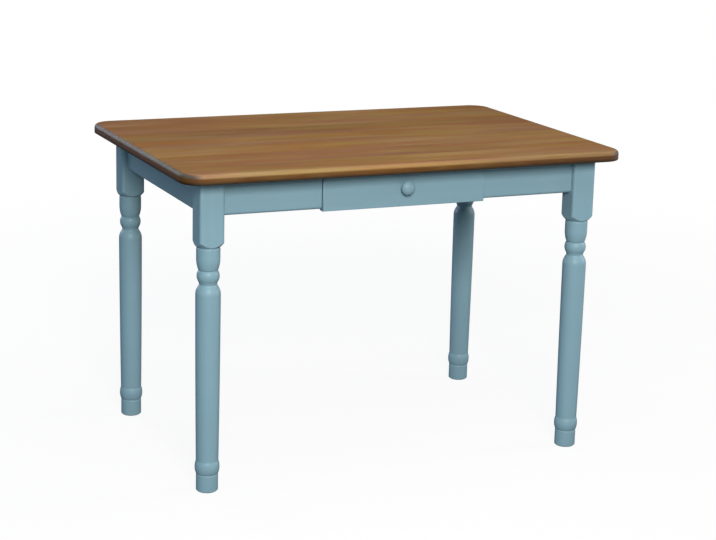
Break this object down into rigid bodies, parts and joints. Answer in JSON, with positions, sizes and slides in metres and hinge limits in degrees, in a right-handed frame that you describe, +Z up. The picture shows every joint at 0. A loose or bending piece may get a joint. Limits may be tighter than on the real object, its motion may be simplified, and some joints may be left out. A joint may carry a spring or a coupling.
{
  "type": "kitchen table",
  "caption": "Rectangular kitchen table: stained wooden top with rounded corners, painted turned legs and rails, and a shallow drawer with a round knob that slides out in front.",
  "frame": {"origin": "on the floor, under the middle of the top", "axes": "+X along the table, to the right of someone facing the drawer; +Y to the back, away from the drawer front; +Z up"},
  "size_m": [1.1, 0.75, 0.75],
  "materials": {
    "stained_wood": "brown stain under satin varnish",
    "painted_wood": "dusty light blue satin paint",
    "bare_wood": "planed, untreated",
    "hardboard": "smooth pressed face",
    "zinc_steel": "bright zinc plating"
  },
  "bodies": {
    "table": {"tabletop": "stained_wood", "leg_front_left": "painted_wood", "leg_front_right": "painted_wood", "leg_back_left": "painted_wood", "leg_back_right": "painted_wood", "rail_back": "painted_wood", "rail_left": "painted_wood", "rail_right": "painted_wood", "rail_front_left": "painted_wood", "rail_front_right": "painted_wood", "corner_brace_front_left": "bare_wood", "corner_brace_front_right": "bare_wood", "corner_brace_back_left": "bare_wood", "corner_brace_back_right": "bare_wood", "drawer_guide_left": "bare_wood", "drawer_guide_right": "bare_wood", "drawer_runner_left": "bare_wood", "drawer_runner_right": "bare_wood", "guide_dowels": "bare_wood", "tabletop_buttons": "bare_wood", "closing_stops": "bare_wood", "pullout_stop": "bare_wood", "hanger_bolts": "zinc_steel", "bolt_washers": "zinc_steel", "bolt_nuts": "zinc_steel", "brace_screws": "zinc_steel", "runner_screws": "zinc_steel", "button_screws": "zinc_steel", "stop_screws": "zinc_steel"},
    "drawer": {"drawer_front": "painted_wood", "drawer_side_left": "bare_wood", "drawer_side_right": "bare_wood", "drawer_back": "bare_wood", "drawer_bottom": "hardboard", "drawer_dowels": "bare_wood", "drawer_front_pins": "zinc_steel", "drawer_bottom_screws": "zinc_steel", "knob": "painted_wood", "knob_screw": "zinc_steel"}
  },
  "joints": [
    {"name": "drawer_slide", "type": "slide", "parent": "table", "child": "drawer", "axis": [0, -1, 0], "range_m": [0, 0.3]}
  ]
}
